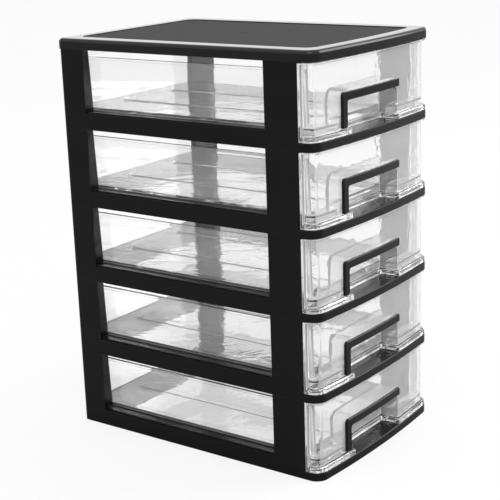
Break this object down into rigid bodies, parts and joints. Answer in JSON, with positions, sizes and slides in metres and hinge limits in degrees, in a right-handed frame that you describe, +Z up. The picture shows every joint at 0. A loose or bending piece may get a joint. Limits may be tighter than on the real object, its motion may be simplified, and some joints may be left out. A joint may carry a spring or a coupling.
{
  "type": "drawer organizer",
  "caption": "Desktop organizer with clear pull-out drawers in a stack of dark open-sided frames; each bowed drawer front has a finger recess and an angled handle.",
  "frame": {"origin": "middle of the footprint, on the surface that the organizer stands on", "axes": "+Z up, drawer fronts face -Y, +X to the right of someone who faces the drawers"},
  "size_m": [0.1908, 0.2723, 0.3621],
  "materials": {
    "frame_black": "moulded, satin gloss",
    "cover_black": "glossy rim, fine matte texture on the sunk panel",
    "handle_black": "moulded, satin gloss",
    "drawer_clear": "clear, polished"
  },
  "bodies": {
    "base": {"top_cover": "cover_black", "tier_frame_1": "frame_black", "tier_frame_2": "frame_black", "tier_frame_3": "frame_black", "tier_frame_4": "frame_black", "tier_frame_5": "frame_black"},
    "drawer_unit_1": {"drawer_1": "drawer_clear", "handle_1": "handle_black"},
    "drawer_unit_2": {"drawer_2": "drawer_clear", "handle_2": "handle_black"},
    "drawer_unit_3": {"drawer_3": "drawer_clear", "handle_3": "handle_black"},
    "drawer_unit_4": {"drawer_4": "drawer_clear", "handle_4": "handle_black"},
    "drawer_unit_5": {"drawer_5": "drawer_clear", "handle_5": "handle_black"}
  },
  "joints": [
    {"name": "drawer_slide_1", "type": "slide", "parent": "base", "child": "drawer_unit_1", "axis": [0, -1, 0], "range_m": [0, 0.2]},
    {"name": "drawer_slide_2", "type": "slide", "parent": "base", "child": "drawer_unit_2", "axis": [0, -1, 0], "range_m": [0, 0.2]},
    {"name": "drawer_slide_3", "type": "slide", "parent": "base", "child": "drawer_unit_3", "axis": [0, -1, 0], "range_m": [0, 0.2]},
    {"name": "drawer_slide_4", "type": "slide", "parent": "base", "child": "drawer_unit_4", "axis": [0, -1, 0], "range_m": [0, 0.2]},
    {"name": "drawer_slide_5", "type": "slide", "parent": "base", "child": "drawer_unit_5", "axis": [0, -1, 0], "range_m": [0, 0.2]}
  ]
}
